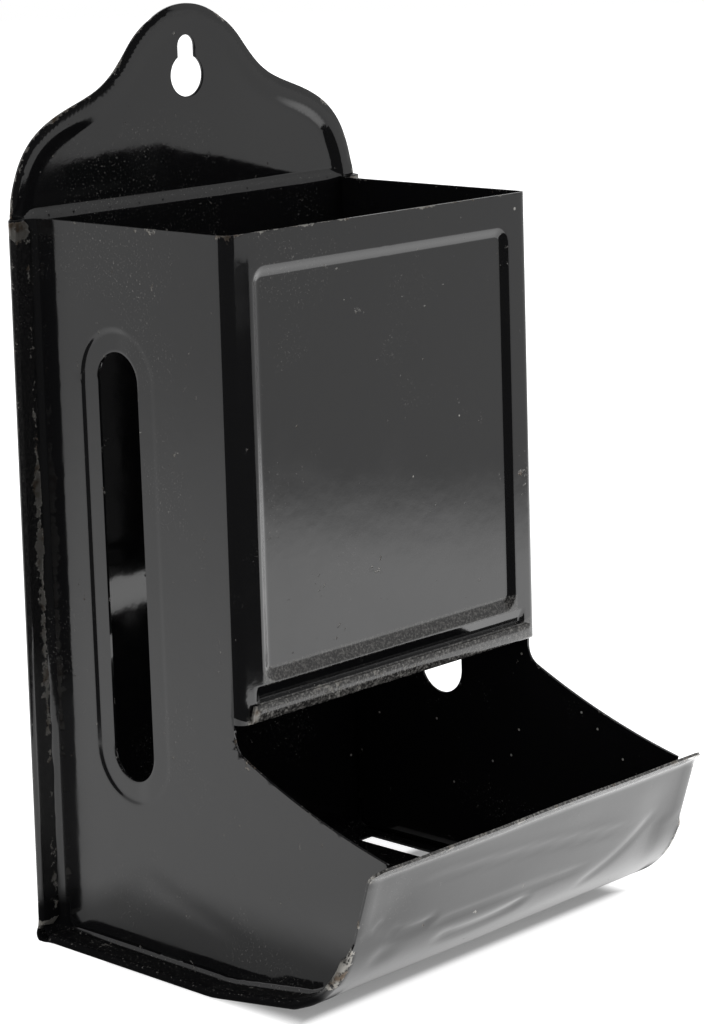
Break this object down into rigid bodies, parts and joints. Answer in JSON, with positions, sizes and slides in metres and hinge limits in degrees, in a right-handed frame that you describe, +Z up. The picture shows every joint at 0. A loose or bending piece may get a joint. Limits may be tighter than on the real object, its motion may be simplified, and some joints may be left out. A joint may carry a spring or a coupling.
{
  "type": "match dispenser",
  "caption": "Wall-hung tin match dispenser: open-topped box on a domed back with a keyhole, slotted sides and a curved scoop tray below.",
  "frame": {"origin": "under the middle of the overall box, at the height of the flat floor's underside", "axes": "+X to the right seen from the front, +Y from the scoop towards the wall, +Z up to the domed head"},
  "size_m": [0.0848, 0.085, 0.1624],
  "materials": {
    "enamel_strip": "glossy black enamel, chipped along the folded edges",
    "enamel_housing": "glossy black enamel with fine dust and small chips"
  },
  "bodies": {
    "root": {"back_and_scoop": "enamel_strip", "housing": "enamel_housing"}
  },
  "joints": []
}
